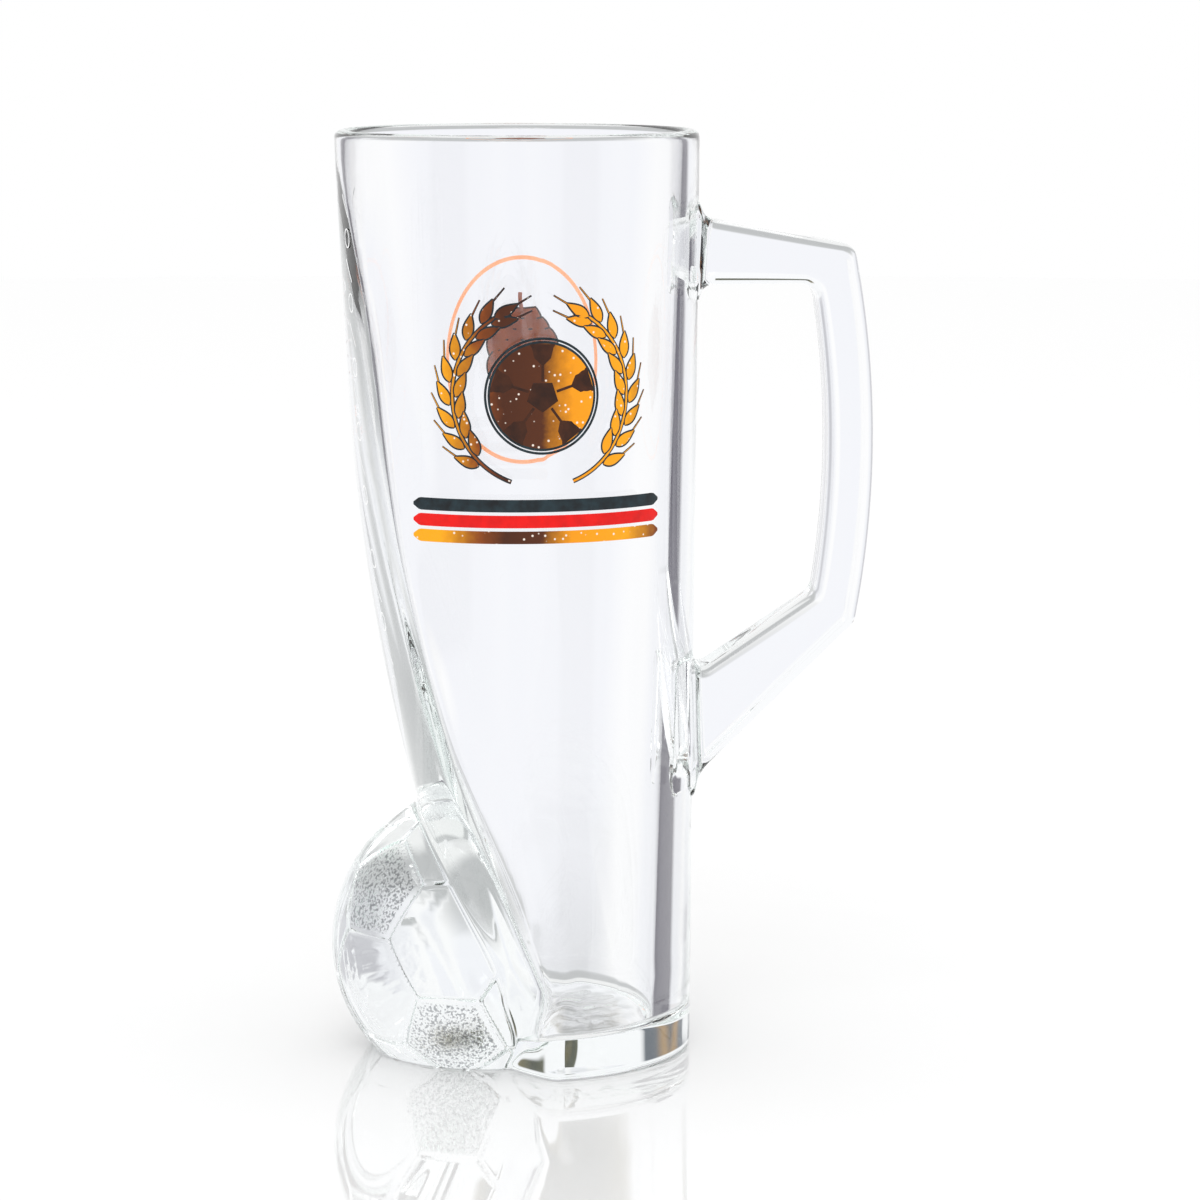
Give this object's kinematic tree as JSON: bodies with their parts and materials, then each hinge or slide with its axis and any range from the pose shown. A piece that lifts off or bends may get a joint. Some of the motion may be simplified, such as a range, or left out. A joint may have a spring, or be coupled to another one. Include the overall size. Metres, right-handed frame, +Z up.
{
  "type": "beer mug",
  "caption": "Tall pressed-glass beer mug whose slanted side stands on a half-sunk glass football, with a fused side handle and fired-on prints.",
  "frame": {"origin": "on the table, at the middle of the bounding box's underside, which lies on the body's flat foot", "axes": "+Z up to the rim, +X from the football towards the handle, -Y towards the front print"},
  "size_m": [0.1206, 0.0811, 0.205],
  "materials": {
    "pressed_glass": "clear pressed soda-lime glass, fire-polished",
    "football_glass": "clear pressed glass, smooth hexagons and stippled pentagons",
    "handle_glass": "clear pressed glass, faintly green where it is thick",
    "amber_enamel": "fired-on enamel print, glossy",
    "brown_enamel": "fired-on enamel print, glossy",
    "black_enamel": "fired-on enamel print, glossy",
    "red_enamel": "fired-on enamel print, glossy",
    "gold_enamel": "fired-on gold-coloured enamel print, glossy"
  },
  "bodies": {
    "root": {"glass_body": "pressed_glass", "football": "football_glass", "handle": "handle_glass", "print_roundel": "amber_enamel", "print_left_ear": "brown_enamel", "print_right_ear": "brown_enamel", "print_black_stripe": "black_enamel", "print_red_stripe": "red_enamel", "print_gold_stripe": "gold_enamel", "back_print_ring": "gold_enamel", "back_print_hop": "brown_enamel"}
  },
  "joints": []
}
